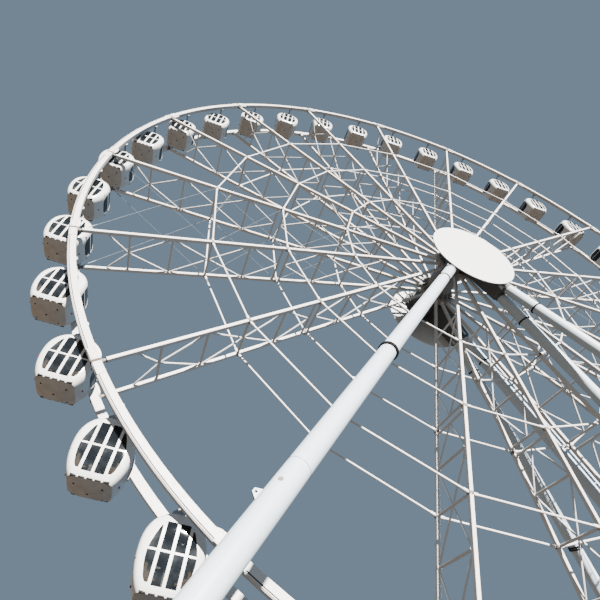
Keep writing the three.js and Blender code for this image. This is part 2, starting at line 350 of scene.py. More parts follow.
class Finish:
    """A material in the making."""

    def __init__(self, name, **settings):
        self.material = bpy.data.materials.new(name)
        self.material.use_nodes = True
        self.tree = self.material.node_tree
        self.shader = self.tree.nodes["Principled BSDF"]
        for socket, value in settings.items():
            self.shader.inputs[socket.replace("_", " ")].default_value = value

    def node(self, kind, settings=None, sockets=(), output=0):
        """A node with its settings made first, then the values or links of its sockets."""
        made = self.tree.nodes.new(kind)
        for name, value in (settings or {}).items():
            setattr(made, name, value)
        pairs = sockets.items() if isinstance(sockets, dict) else enumerate(sockets)
        for name, value in pairs:
            if isinstance(value, Value):
                self.tree.links.new(value.socket, made.inputs[name])
            else:
                made.inputs[name].default_value = value
        return Value(self, made.outputs[output])

    def feed(self, socket, value):
        self.tree.links.new(value.socket, self.shader.inputs[socket])

    def place(self):
        return self.node("ShaderNodeTexCoord", output="Object")

    def noise(self, scale, detail=3.0, roughness=0.5):
        sockets = {"Vector": self.place(), "Scale": scale, "Detail": detail, "Roughness": roughness}
        return self.node("ShaderNodeTexNoise", sockets=sockets)

    def ramp(self, value, low, high):
        """0 below low, 1 above high, and smooth between them."""
        sockets = {"Value": value, "From Min": low, "From Max": high}
        return self.node("ShaderNodeMapRange", dict(interpolation_type="SMOOTHSTEP"), sockets)

    def blend(self, share, first, second):
        sockets = {0: share, 6: (*first, 1), 7: (*second, 1)}
        return self.node("ShaderNodeMix", dict(data_type="RGBA"), sockets, output=2)

    def bump(self, height, strength, distance):
        relief = self.node("ShaderNodeBump", sockets={"Height": height, "Strength": strength, "Distance": distance})
        self.feed("Normal", relief)


def painted(name, color, soiled, roughness=0.42, metallic=0.0, streaks=0.5, shine=0.5):
    """Painted steel: a slightly uneven coat, darker where dust and rain marks gather."""
    paint = Finish(name, Metallic=metallic, Specular_IOR_Level=shine)
    cloud = paint.ramp(paint.noise(0.9, 4.0), 0.45, 0.75)
    specks = paint.ramp(paint.noise(14.0, 5.0, 0.65), 0.5, 0.72)
    dirt = cloud * streaks * 0.6 + specks * streaks * 0.35
    paint.feed("Base Color", paint.blend(dirt, color, soiled))
    paint.feed("Roughness", specks * 0.12 + roughness)
    paint.bump(paint.noise(60.0, 2.0), 0.2, 0.0004)
    return paint.material


def moulded_white():
    shell = Finish("cabin_shell_white", Coat_Weight=0.3, Coat_Roughness=0.08)
    haze = shell.ramp(shell.noise(2.5, 4.0), 0.45, 0.8)
    specks = shell.ramp(shell.noise(22.0, 4.0), 0.55, 0.8)
    dust = haze * 0.35 + specks * 0.2
    shell.feed("Base Color", shell.blend(dust, (0.86, 0.86, 0.85), (0.7, 0.68, 0.64)))
    shell.feed("Roughness", haze * 0.15 + 0.25)
    shell.bump(shell.noise(30.0), 0.15, 0.0004)
    return shell.material


def underside_beige():
    floor = Finish("cabin_floor_beige")
    grain = floor.ramp(floor.noise(5.0, 5.0), 0.35, 0.75)
    floor.feed("Base Color", floor.blend(grain, (0.7, 0.65, 0.6), (0.6, 0.55, 0.5)))
    floor.feed("Roughness", grain * 0.2 + 0.55)
    floor.bump(floor.noise(40.0), 0.3, 0.0006)
    return floor.material


def tinted_glass():
    glass = Finish("tinted_glass", Alpha=0.6)
    smear = glass.ramp(glass.noise(2.2, 4.0), 0.45, 0.75)
    glass.feed("Base Color", glass.blend(smear, (0.008, 0.01, 0.012), (0.06, 0.066, 0.07)))
    glass.feed("Roughness", smear * 0.05 + 0.03)
    return glass.material


def upholstery():
    cloth = Finish("seat_tan")
    weave = cloth.noise(80.0, 2.0)
    worn = cloth.ramp(cloth.noise(4.0), 0.4, 0.7)
    cloth.feed("Base Color", cloth.blend(worn, (0.85, 0.56, 0.3), (0.75, 0.48, 0.26)))
    cloth.feed("Roughness", weave * 0.2 + 0.6)
    cloth.bump(weave, 0.4, 0.001)
    return cloth.material


def lamp_red():
    lens = Finish("lamp_red", Coat_Weight=0.6)
    ribs = lens.noise(50.0)
    lens.feed("Base Color", lens.blend(ribs, (0.16, 0.003, 0.005), (0.22, 0.008, 0.01)))
    lens.feed("Roughness", ribs * 0.2 + 0.2)
    return lens.material


def pale_floor():
    floor = Finish("pale_floor")
    cloud = floor.noise(0.6, 3.0)
    floor.feed("Base Color", floor.blend(cloud, (0.5, 0.49, 0.47), (0.54, 0.53, 0.51)))
    floor.feed("Roughness", cloud * 0.1 + 0.7)
    return floor.material


STRUCTURE = painted("structure_white", (0.83, 0.81, 0.78), (0.55, 0.5, 0.45))
NECK = painted("joint_beige", (0.26, 0.22, 0.19), (0.16, 0.13, 0.11), 0.5)
# Near black for dark joints, bolts and drains, also painted as the shade in the cabins' vent slots and the leg lugs'
# holes
DARK = painted("dark_parts_and_painted_shade", (0.015, 0.014, 0.013), (0.03, 0.026, 0.022), 0.6, shine=0.1)
# Dark brown painted as the shade in the rims' groove and in the gaps of their splices
SHADOW = painted("groove_painted_shade", (0.11, 0.085, 0.065), (0.06, 0.048, 0.04), 0.7, shine=0.1)
BARREL = painted("hub_grey", (0.34, 0.33, 0.32), (0.24, 0.23, 0.22), 0.5, shine=0.3)
CABLE = painted("cable_grey", (0.2, 0.22, 0.25), (0.12, 0.12, 0.12), 0.5, 0.3)
LEG = painted("leg_white", (0.67, 0.76, 0.83), (0.46, 0.53, 0.59), 0.38)
FLANGE = painted("flange_brown", (0.02, 0.017, 0.015), (0.03, 0.026, 0.022), 0.6, shine=0.1)
HEAD = painted("head_grey", (0.155, 0.16, 0.155), (0.1, 0.1, 0.095), 0.5, shine=0.2)
DISC = painted("disc_white", (0.88, 0.88, 0.86), (0.8, 0.79, 0.77), 0.4, 0.0, 0.3)
GALVANISED = painted("galvanised_grey", (0.48, 0.49, 0.5), (0.3, 0.3, 0.3), 0.45, 0.6)
BASE = painted("base_grey", (0.36, 0.37, 0.38), (0.2, 0.2, 0.2), 0.6)
DECK = painted("deck_grey", (0.42, 0.41, 0.39), (0.25, 0.24, 0.22), 0.7)
TIMBER = painted("packing_timber", (0.36, 0.25, 0.15), (0.2, 0.14, 0.09), 0.8)
SHELL_WHITE = moulded_white()
UNDERSIDE = underside_beige()
GLASS = tinted_glass()
SEAT = upholstery()
RED = lamp_red()


# Wheel


def on_wheel(angle, radius, y):
    return np.array([radius * math.cos(angle), y, radius * math.sin(angle)])


def rim_frame(angle):
    """Unit vectors outwards and along the rim at an angle."""
    return on_wheel(angle, 1, 0), on_wheel(angle + math.pi / 2, 1, 0)


def rim(end, side):
    """A rim: the rolled box with a groove along its front, and a bolted splice at each spoke."""
    form = Form()
    out, deep, ease, cut = RIM_WIDTH / 2, RIM_DEPTH / 2, RIM_EASE, RIM_CHAMFER
    low, high = RIM_GROOVE
    floor = out - GROOVE_DEPTH
    profile = [
        (-deep, -out + ease), (-deep, out - ease), (-deep + ease, out), (low, out), (low, floor), (high, floor),
        (high, out), (deep - cut, out), (deep, out - cut), (deep, -out + ease), (deep - ease, -out),
        (-deep + ease, -out),
    ]
    # The groove's three inner faces take the painted shade
    groove = [2 if j in (3, 4, 5) else 0 for j in range(len(profile))]
    rings = []
    for i in range(RIM_STEPS):
        angle = 2 * math.pi * i / RIM_STEPS
        rings.append([on_wheel(angle, RIM_RADIUS + r, side * (RIM_OFFSET + y)) for r, y in profile])
    form.loft(rings, groove, closed=True)
    for i in range(SPOKES):
        rim_splice(form, i * SPOKE_STEP, side)
    for i in range(CABINS):
        cabin_bearing(form, (i + 0.5) * 2 * math.pi / CABINS, side)
    finishes = [STRUCTURE, NECK, SHADOW, GALVANISED]
    piece(f"{end}_rim_steel", form, finishes, "wheel", [f"{end}_rim"])


def rim_splice(form, angle, side):
    """The joint between two lengths of rim: a dark gap, cover plates over the groove and the lug behind the spoke."""
    outwards, along = rim_frame(angle)
    y_out = side * (RIM_OFFSET + RIM_WIDTH / 2)

    def at(forward, out, y=0.0):
        return outwards * (RIM_RADIUS + out) + along * forward + AXLE * (y_out + side * y)

    # The gap is a thin sheet of the groove's colour, painted shade between the two lengths of rim
    gap = [at(way * SPLICE_GAP, out, -0.25) for way, out in ((-1, -0.184), (1, -0.184), (1, 0.184), (-1, 0.184))]
    form.slab(gap, AXLE * side * 0.256, 2)
    for near, far in ((-SPLICE_REACH, -SPLICE_GAP - 0.005), (SPLICE_GAP + 0.005, SPLICE_REACH)):
        plate = [at(near, -0.165), at(far, -0.165), at(far, 0.15), at(near, 0.15)]
        form.slab(plate, AXLE * side * 0.016, 0, 0.03)
        for forward in np.linspace(near + 0.08, far - 0.08, 4):
            for out in (-0.11, 0.09):
                start = at(forward, out, 0.014)
                form.tube(start, start + AXLE * side * 0.022, 0.02, 6, 3)
    edge = ((-0.86, -0.17), (-0.8, -0.22), (-0.64, -0.28), (-0.42, -0.3), (-0.22, -0.28), (-0.1, -0.22), (-0.07, -0.17))
    form.slab([at(forward, inward, -0.04) for forward, inward in edge], AXLE * -side * 0.18, 0, 0.04)
    socket = at(0, -0.18)
    socket[1] = side * CHORD_OFFSET
    form.turned(socket, socket - outwards, [(-0.02, 0.125), (0.03, 0.125), (0.08, 0.085), (0.1, 0.085)], 16, 1)


def cabin_bearing(form, angle, side):
    """The bearing block on a rim's inner side that holds a cabin's pin."""
    outwards, along = rim_frame(angle)
    centre = outwards * PIVOT_RADIUS + AXLE * side * (RIM_OFFSET - RIM_WIDTH / 2)
    form.turned(centre, centre - AXLE * side, [(-0.02, 0.15), (0.045, 0.15), (0.06, 0.135)], 20, 3)


def chord(form, angle, side):
    """A spoke's chord: a box tube with a narrow neck and a ring at the rim, and bolted joints on its way in."""
    inner = on_wheel(angle, FLANGE_RADIUS + SEAT_GAP, side * CHORD_OFFSET)
    outer = on_wheel(angle, RIM_RADIUS - RIM_DEPTH / 2 - SEAT_GAP, side * CHORD_OFFSET)
    length = math.dist(inner, outer)
    outwards, across = rim_frame(angle)
    neck = length - CHORD_NECK
    wide, deep = CHORD_HALF
    corners = []
    for w, y in ((-1, -1), (1, -1), (1, 1), (-1, 1)):
        eased = [(w * wide, y * (deep - CHORD_EASE)), (w * (wide - CHORD_EASE), y * deep)]
        corners += eased if w * y > 0 else eased[::-1]
    form.loft([[inner + outwards * way + across * w + AXLE * y for w, y in corners] for way in (0, neck)])
    form.turned(inner, outer, [(0, 0.13), (0.12, 0.13)], 14)
    form.turned(inner, outer, [(neck - 0.02, 0.07), (length - 0.08, 0.07), (length, 0.1)], 12, 1)
    form.turned(inner, outer, [(neck, 0.088), (neck + 0.03, 0.088)], 14, 2)
    for share in CHORD_JOINTS:
        centre = share * RIM_RADIUS - FLANGE_RADIUS
        half = [(centre - 0.06, 0.135), (centre - 0.01, 0.135), (centre - 0.01, 0.12)]
        form.turned(inner, outer, mirrored(half, 2 * centre), 14, 1)


def rod(form, start, end, radius, sides=8):
    """A bracing tube whose ends are pressed flat and bolted."""
    length = math.dist(start, end)
    taper = min(0.18, length / 5)
    flat = radius * 0.6
    form.turned(start, end, mirrored([(0, flat), (taper * 0.6, flat), (taper, radius)], length), sides)


def spoke(form, angle):
    for side in (-1, 1):
        chord(form, angle, side)
    for share in POST_PLACES:
        radius = share * RIM_RADIUS
        form.tube(on_wheel(angle, radius, -CHORD_OFFSET), on_wheel(angle, radius, CHORD_OFFSET), POST_RADIUS, 10)
        for side in (-1, 1):
            end = on_wheel(angle, radius, side * (CHORD_OFFSET - 0.09))
            form.tube(end, end - AXLE * side * 0.05, 0.09, 10)
    for (share, reach), (other, other_reach) in DIAGONALS:
        for side in (-1, 1):
            start = on_wheel(angle, share * RIM_RADIUS, side * reach * (CHORD_OFFSET - 0.06))
            end = on_wheel(angle, other * RIM_RADIUS, side * other_reach * (CHORD_OFFSET - 0.06))
            rod(form, start, end, DIAGONAL_RADIUS)


def tie(form, angle, share, side):
    """A straight tie to the next spoke, its ends bolted to short plates on the chords."""
    start = on_wheel(angle, share * RIM_RADIUS, side * CHORD_OFFSET)
    end = on_wheel(angle + SPOKE_STEP, share * RIM_RADIUS, side * CHORD_OFFSET)
    along = (end - start) / math.dist(start, end)
    rod(form, start + along * 0.02, end - along * 0.02, TIE_RADIUS, 10)
    for point, way in ((start, along), (end, -along)):
        form.turned(point, point + way, [(0.05, 0.075), (0.3, 0.075), (0.33, 0.06)], 10)


def spoke_sector(index):
    form = Form()
    for i in range(SPOKES // SECTORS):
        angle = (index * SPOKES // SECTORS + i) * SPOKE_STEP
        spoke(form, angle)
        for share in TIE_RINGS:
            for side in (-1, 1):
                tie(form, angle, share, side)
    number = index + 1
    piece(f"spoke_ladders_{number}", form, [STRUCTURE, NECK, DARK], "wheel",
          [f"spoke_sector_{number}"])


def cable(form, start, end):
    """A taut thin cable, with a turnbuckle near its outer end and an eye at each end."""
    length = math.dist(start, end)
    form.tube(start, end, CABLE_RADIUS, 6)
    form.turned(start, end, mirrored([(0.5, 0.012), (0.54, 0.02)], 1.48), 8)
    form.turned(start, end, [(0.0, 0.024), (0.2, 0.014)], 8)
    form.turned(start, end, [(length - 0.2, 0.014), (length, 0.024)], 8)


def bracing_cables():
    """Crossed cables in the bays that have them, one cross between each two rings."""
    form = Form()
    rings = (RIM_RADIUS - RIM_DEPTH / 2 - 0.02, *(share * RIM_RADIUS for share in reversed(TIE_RINGS)))
    for bay in CABLE_BAYS:
        near, far = bay * SPOKE_STEP, (bay + 1) * SPOKE_STEP
        for outer, inner in zip(rings, rings[1:]):
            for side in (-1, 1):
                for start, end, reach in ((near, far, 0.02), (far, near, -0.02)):
                    y = side * (CHORD_OFFSET - 0.03) + reach
                    cable(form, on_wheel(start, outer - 0.05, y), on_wheel(end, inner + 0.05, y))
    piece("bracing_cables", form, [CABLE], "wheel")


def hub():
    """The turning hub: a barrel between two bolted flanges, with radial ribs and the shaft."""
    form = Form()
    back, front = AXLE * FLANGE_OUTER, AXLE * -FLANGE_OUTER
    depth = 2 * FLANGE_OUTER
    web = FLANGE_OUTER - FLANGE_INNER
    half = [(0, FLANGE_RADIUS - 0.03), (0.03, FLANGE_RADIUS), (web - 0.03, FLANGE_RADIUS), (web, FLANGE_RADIUS - 0.03),
            (web, BARREL_RADIUS + 0.04), (web + 0.05, BARREL_RADIUS)]
    form.turned(back, front, mirrored(half, depth), 72)
    for side in (-1, 1):
        start = AXLE * side * FLANGE_OUTER
        form.turned(start, start + AXLE * side,
                    [(-0.01, 0.62), (0.03, 0.62), (0.04, SHAFT_RADIUS), (1.05, SHAFT_RADIUS)], 48, 1)
        for i in range(SPOKES):
            angle = (i + 0.5) * SPOKE_STEP
            bolt = on_wheel(angle, FLANGE_RADIUS - 0.15, side * (FLANGE_OUTER - 0.01))
            form.tube(bolt, bolt + AXLE * side * 0.05, 0.05, 6, 2)
            outwards, along = rim_frame(i * SPOKE_STEP)
            rib = ((BARREL_RADIUS - 0.02, 0.01), (BARREL_RADIUS - 0.02, -0.45), (FLANGE_RADIUS - 0.08, 0.01))
            corners = [outwards * out + along * -0.03 + AXLE * side * (FLANGE_INNER + y) for out, y in rib]
            form.slab(corners, along * 0.06)
    piece("hub_steel", form, [BARREL, NECK, DARK], "wheel", ["wheel_hub"])


# Cabins


def egg_width(height):
    """Half width of the egg outline at a height, both as shares of the cabin's half sizes."""
    if height < EGG_WIDEST:
        return (1 - ((EGG_WIDEST - height) / EGG_FOOT) ** EGG_LOWER_ROUND) ** (1 / EGG_LOWER_ROUND)
    return max(0.0, 1 - ((height - EGG_WIDEST) / (1 - EGG_WIDEST)) ** EGG_UPPER_ROUND) ** (1 / EGG_UPPER_ROUND)


def egg_outline(inset=0.0):
    """The cabin's outline seen from the front, brought in by an even inset."""
    half_length, _, half_height = CABIN_HALF
    heights = [-0.985, -0.95, -0.9, -0.83, -0.75, -0.65, -0.52, -0.36, -0.2, -0.05, EGG_WIDEST, 0.2, 0.35, 0.49,
               0.61, 0.71, 0.8, 0.87, 0.93, 0.97, 0.993]
    right = [(egg_width(h) * half_length, h * half_height) for h in heights]
    right[0] = (right[0][0] - 0.03, -0.99 * half_height)
    right[:0] = [(0.34, -half_height), (right[0][0] - 0.11, -half_height)]
    left = [(-x, z) for x, z in reversed(right)]
    outline = np.array(right + [(0, half_height)] + left)
    if not inset:
        return outline
    ahead, behind = np.roll(outline, -1, axis=0), np.roll(outline, 1, axis=0)
    run = ahead - behind
    normal = np.stack([run[:, 1], -run[:, 0]], axis=1)
    normal /= np.linalg.norm(normal, axis=1, keepdims=True)
    return outline - normal * inset


def egg_body(inset):
    """A closed egg with soft front and back edges, brought in by an even inset."""
    form = Form()
    outline = egg_outline(inset)
    middle = np.array([0.0, EGG_WIDEST * CABIN_HALF[2]])
    half_width = CABIN_HALF[1] - inset
    rings = []
    for turn in np.linspace(-1, 1, 43):
        lean = math.copysign(1 - (1 - abs(turn)) ** RING_EASE, turn) * LAST_RING
        shares = [(1 - abs(lean) ** power) ** (1 / power) for power in (PLAN_ROUND, FACE_ROUND)]
        ring = middle + (outline - middle) * shares
        rings.append([(x, lean * half_width, z) for x, z in ring])
    form.loft(rings)
    return form


def face_depth(x, z):
    """How far the egg's front face stands from its middle plane."""
    half_length, half_width, half_height = CABIN_HALF
    z -= EGG_WIDEST * half_height
    tall = (1 - EGG_WIDEST if z > 0 else 1 + EGG_WIDEST) * half_height
    across = abs(x) / (egg_width(EGG_WIDEST + z / half_height) * half_length)
    return half_width * min((1 - (abs(z) / tall) ** FACE_ROUND) ** (1 / FACE_ROUND),
                            (1 - across ** PLAN_ROUND) ** (1 / PLAN_ROUND))


def floor_drop(x, y):
    """How far the underside may lie below its seam: it slopes in from all four edges, around rounded corners."""
    reach = np.array([egg_width(FLOOR_SEAM / CABIN_HALF[2]) * CABIN_HALF[0], face_depth(0, FLOOR_SEAM)])
    inwards = reach - np.abs((x, y))
    beyond = np.maximum(FLOOR_ROUND - inwards, 0)
    return (FLOOR_ROUND - math.hypot(*beyond) + max(0.0, min(inwards) - FLOOR_ROUND)) * FLOOR_SLOPE


def pane_outline(low, high, left, right, limit, grow):
    """The outline of a pane between two heights and two upright edges, kept within a limit on its half width."""
    tall = np.linspace(low, high, 17)
    pairs = [(max(left, -limit(z)), min(right, limit(z)), z) for z in tall]
    pairs = [pair for pair in pairs if pair[1] - pair[0] > 0.04]
    last = len(pairs) - 1
    rights, lefts = [], []
    for i, (near, far, z) in enumerate(pairs):
        z += grow * (1 if i == last else -1 if i == 0 else 0)
        rights.append((far + grow, z))
        lefts.append((near - grow, z))
    return rights + lefts[::-1]


def front_panes(grow):
    """The outlines of the front's panes: four columns, each split by the transom."""
    heights, widths = zip(*WINDOW_EDGE)

    def limit(z):
        return float(np.interp(z, heights, widths))

    edges = [-BEYOND, *(middle + way * MULLION_WIDTH / 2 for middle in MULLIONS for way in (-1, 1)), BEYOND]
    rows = ((heights[0], TRANSOM - TRANSOM_WIDTH / 2), (TRANSOM + TRANSOM_WIDTH / 2, heights[-1]))
    return [pane_outline(low, high, left, right, limit, grow)
            for left, right in zip(edges[::2], edges[1::2]) for low, high in rows]


def door_panes(grow):
    """The outlines of the oval window in a side, split by its bar."""
    reach, tall = DOOR_HALF

    def limit(z):
        return reach * (1 - min(1.0, abs(z - DOOR_CENTRE) / tall) ** DOOR_ROUND) ** (1 / DOOR_ROUND)

    rows = ((DOOR_CENTRE - tall, DOOR_BAR[0]), (DOOR_BAR[1], DOOR_CENTRE + tall))
    return [pane_outline(low, high, -BEYOND, BEYOND, limit, grow) for low, high in rows]


def window_prisms(grow, reach):
    """Closed prisms through the front, the back and both sides, one for each pane."""
    form = Form()
    half_length, half_width, _ = CABIN_HALF
    for side in (-1, 1):
        near, far = side * (half_width + 0.1), side * (half_width - reach)
        for outline in front_panes(grow):
            form.loft([[(x, near, z) for x, z in outline], [(x, far, z) for x, z in outline]])
        near, far = side * (half_length + 0.1), side * (half_length - reach)
        for outline in door_panes(grow):
            form.loft([[(near, y, z) for y, z in outline], [(far, y, z) for y, z in outline]])
    return form


def combined(solid, *steps):
    """The mesh of a solid after booleans with others, given as (operation, form) pairs."""
    objects = [new_object("working", form.mesh("working", 1.0)) for form in (solid, *(form for _, form in steps))]
    for (operation, _), cutter in zip(steps, objects[1:]):
        modifier = objects[0].modifiers.new("cut", "BOOLEAN")
        modifier.object = cutter
        modifier.operation = operation
        modifier.solver = "EXACT"
    depsgraph = bpy.context.evaluated_depsgraph_get()
    result = bpy.data.meshes.new_from_object(objects[0].evaluated_get(depsgraph))
    for made in objects:
        mesh = made.data
        bpy.data.objects.remove(made)
        bpy.data.meshes.remove(mesh)
    return result


def lowered(form, drop):
    form.points = [(x, y, z - drop) for x, y, z in form.points]


def cabin_mesh():
    """The one mesh that all the cabins share, measured from the pin."""
    shell = combined(egg_body(0.0), ("DIFFERENCE", egg_body(SHELL)), ("DIFFERENCE", window_prisms(0.0, 0.3)))
    work = bmesh.new()
    work.from_mesh(shell)
    bmesh.ops.bisect_plane(work, geom=work.verts[:] + work.edges[:] + work.faces[:], plane_co=(0, 0, FLOOR_SEAM),
                           plane_no=(0, 0, 1))
    work.normal_update()
    for vert in work.verts:
        if vert.co.z < FLOOR_SEAM - 0.001:
            drop = floor_drop(vert.co.x, vert.co.y) - (SHELL if vert.normal.z > 0 else 0)
            vert.co.z = max(vert.co.z, FLOOR_SEAM - max(0.0, drop))
    work.to_mesh(shell)
    work.free()
    form = Form()
    form.take(shell)
    for i, face in enumerate(form.faces):
        if np.mean([form.points[j][2] for j in face]) < FLOOR_SEAM:
            form.finishes[i] = 1
    panes = combined(egg_body(PANE_INSET), ("DIFFERENCE", egg_body(PANE_INSET + PANE)),
                     ("INTERSECT", window_prisms(0.012, 0.27)))
    form.take(panes, 2)
    cabin_inside(form)
    cabin_trim(form)
    lowered(form, CABIN_DROP)
    hangers(form)
    return form.mesh("cabin")


def cabin_inside(form):
    """Two facing benches with end panels, and the floor plate."""
    floor = FLOOR_SEAM + 0.03
    form.block((-0.5, -0.6, floor - 0.03), (0.5, 0.6, floor), 0.01, 4)
    for side in (-1, 1):
        for low, high in (((0.28, -0.66, -0.76), (0.66, 0.66, -0.64)), ((0.6, -0.68, -0.72), (0.7, 0.68, -0.3)),
                          ((0.4, -0.5, floor), (0.46, 0.5, -0.74))):
            x0, x1 = sorted((side * low[0], side * high[0]))
            form.block((x0, low[1], low[2]), (x1, high[1], high[2]), 0.03, 3)
        panel = ((0.36, -0.92), (0.56, -0.92), (0.68, -0.72), (0.7, -0.5), (0.4, -0.58))
        for y in (-0.73, 0.68):
            form.slab([(side * x, y, z) for x, z in panel], AXLE * 0.05, 3)


def cabin_trim(form):
    """Hooded vents along the foot of both faces, drains underneath and the side lamps."""
    for side in (-1, 1):
        for i in range(VENTS):
            x = (i - (VENTS - 1) / 2) * VENT_PITCH
            y, z = face_depth(x, VENT_HEIGHT), VENT_HEIGHT
            y0, y1 = sorted((side * (y - 0.14), side * (y + 0.004)))
            # The slot is a black block, painted shade for the opening under the vent's hood
            form.block((x - VENT_HALF, y0, z - 0.028), (x + VENT_HALF, y1, z + 0.024), 0.006, 4)
            hood = [(x + across, side * (y + out), z + up) for across, out, up in
                    ((-0.11, -0.02, 0.05), (0.11, -0.02, 0.05), (0.104, 0.02, 0.028), (-0.104, 0.02, 0.028))]
            form.slab(hood, (0, 0, 0.01), 0, 0.05)
    for x, y, radius in DRAINS:
        low = max(-CABIN_HALF[2], FLOOR_SEAM - floor_drop(x, y))
        form.tube((x, y, low + 0.03), (x, y, low - 0.005), radius, 16, 4)
    for side in (-1, 1):
        for y in (-0.68, 0.68):
            form.tube((side * 0.9, y, -0.24), (side * 1.012, y, -0.24), LAMP_RADIUS, 12, 6)
        form.tube((side * 0.8, 0, -0.82), (side * 0.915, 0, -0.82), LAMP_RADIUS, 12, 6)


def hangers(form):
    """The pin across the rims, the two brackets that carry the cabin from it and the roof housing between them."""
    end = RIM_OFFSET - RIM_WIDTH / 2 - SEAT_GAP
    form.turned(AXLE * -end, AXLE * end, mirrored([(0, 0.075), (0.1, 0.075), (0.12, PIN_RADIUS)], 2 * end), 20, 5)
    roof = -CABIN_DROP + CABIN_HALF[2]
    for side in (-1, 1):
        y = side * HANGER_OFFSET - 0.04
        outline = [(-0.34, y, roof - 0.12), (0.34, y, roof - 0.12), (0.3, y, roof), (0.16, y, roof + 0.1)]
        outline += [(0.11 * math.cos(t), y, 0.11 * math.sin(t)) for t in np.linspace(0, math.pi, 9)]
        outline += [(-0.16, y, roof + 0.1), (-0.3, y, roof)]
        form.slab(outline, AXLE * 0.08, 5, 0.05)
        form.tube((0, y - 0.03, 0), (0, y + 0.11, 0), 0.08, 16, 4)
    form.block((-0.32, -0.46, roof - 0.1), (0.32, 0.46, roof + 0.03), 0.03, 5)


def cabins():
    mesh = cabin_mesh()
    finishes = [SHELL_WHITE, UNDERSIDE, GLASS, SEAT, DARK, GALVANISED, RED]
    hinges = {joint["child"]: joint["pos_m"] for joint in frame["joints"]}
    for body, place in sorted(hinges.items()):
        if body.startswith("cabin"):
            piece(f"{body}_shell", mesh, finishes, body, [body], place)


# Tower


def on_leg(front, right, sizes, along):
    """A point of a leg's axis; along is measured in the wheel's plane from the hub's centre."""
    return np.array([
        right * along * math.sin(sizes["tilt"]),
        front * (sizes["start"] + sizes["splay"] * along),
        -along * math.cos(sizes["tilt"]),
    ])


def leg_outwards(right, sizes):
    """A unit vector square to a leg, away from the wheel's middle and up."""
    return np.array([right * math.cos(sizes["tilt"]), 0, math.sin(sizes["tilt"])])


def leg(end, front, hand, right, kind, sizes):
    """A bolted tube leg from its head's stub down to the base."""
    form = Form()
    top, ground = STUB_END + SEAT_GAP, (HUB_HEIGHT - BASE_HEIGHT) / math.cos(sizes["tilt"])
    start, end_point = on_leg(front, right, sizes, top), on_leg(front, right, sizes, ground)
    stretch = math.dist(start, end_point) / (ground - top)
    form.tube(start, end_point, LEG_RADIUS, 56)

    def ring(place, length, radius, finish=1, ease=0.008):
        begin = (place - top) * stretch
        half = [(begin, radius - ease), (begin + ease, radius)]
        form.turned(start, end_point, mirrored(half, 2 * begin + length), 56, finish)

    ring(top, STUB_FLANGE, STUB_FLANGE_RADIUS)
    for place in (MIDDLE_FLANGE, MIDDLE_FLANGE + LEG_FLANGE / 2 + FLANGE_GAP):
        ring(place, LEG_FLANGE / 2, LEG_FLANGE_RADIUS)
    along, across, up = square_to(end_point - start)
    for turn in np.arange(0, 2 * math.pi, math.pi / 9):
        bolt = start + along * ((MIDDLE_FLANGE - top) * stretch - 0.03)
        bolt = bolt + (across * math.cos(turn) + up * math.sin(turn)) * (LEG_RADIUS + 0.018)
        form.tube(bolt, bolt + along * (LEG_FLANGE + FLANGE_GAP + 0.06), 0.016, 6, 4)
    ring(LOWER_COLLAR, 0.02, LEG_RADIUS + 0.006, 2)
    if kind == "outer":
        leg_lugs(form, front, right, sizes)
    elif front > 0 and right > 0:
        ladder(form, front, right, sizes, ground)
    level = BASE_HEIGHT + SEAT_GAP - HUB_HEIGHT
    half = FOOT_SIDE / 2
    x, y, _ = end_point
    form.block((x - half, y - half, level), (x + half, y + half, level + FOOT_THICKNESS), 0.015, 2)
    for dx, dy in ((dx, dy) for dx in (-1, 0, 1) for dy in (-1, 0, 1) if dx or dy):
        bolt = (x + dx * (half - 0.1), y + dy * (half - 0.1), level + FOOT_THICKNESS)
        form.tube(bolt, (bolt[0], bolt[1], bolt[2] + 0.1), 0.04, 6, 3)
    for turn in np.arange(0, 2 * math.pi, math.pi / 3):
        rib_way = np.array([math.cos(turn), math.sin(turn), 0])
        side_way = np.array([-rib_way[1], rib_way[0], 0]) * 0.02
        seat = np.array([x, y, level + FOOT_THICKNESS - 0.01]) - side_way
        rib = [seat + rib_way * out + (0, 0, rise) for out, rise in ((0.28, 0), (0.54, 0), (0.28, 0.42))]
        form.slab(rib, side_way * 2)
    node = f"{end}_{hand}_{kind}_leg"
    piece(f"{node}_tube", form, [LEG, FLANGE, NECK, GALVANISED, DARK], "tower", [node])


def leg_lugs(form, front, right, sizes):
    """The lifting lug and the small stop on an outer leg's outer edge, and the round plug below the seam."""
    axis = on_leg(front, right, sizes, 10.0) - on_leg(front, right, sizes, 9.0)
    axis /= np.linalg.norm(axis)
    outer = leg_outwards(right, sizes)
    across = np.cross(axis, outer)

    def at(along, out, wide=0.0):
        return on_leg(front, right, sizes, along) + outer * out + across * wide

    for along, length, reach in ((LUG_ALONG, 0.17, 0.15), (STOP_ALONG, 0.1, 0.08)):
        lug = [at(along + length * share, LEG_RADIUS + out, -0.03) for share, out in
               ((-1, -0.03), (1, -0.03), (0.3, reach), (-0.3, reach))]
        form.slab(lug, across * 0.06, 0, 0.03)
    # The hole is a black disc through the lug, painted shade for the opening
    hole = at(LUG_ALONG, LEG_RADIUS + 0.08, -0.034)
    form.tube(hole, hole + across * 0.068, 0.03, 16, 4)
    facing = AXLE * front - axis * front * axis[1]
    facing = facing / np.linalg.norm(facing) * math.cos(math.pi / 6) + outer * math.sin(math.pi / 6)
    plug = on_leg(front, right, sizes, PLUG_ALONG) + facing * (LEG_RADIUS - 0.01)
    form.tube(plug, plug + facing * 0.02, 0.06, 16, 2)


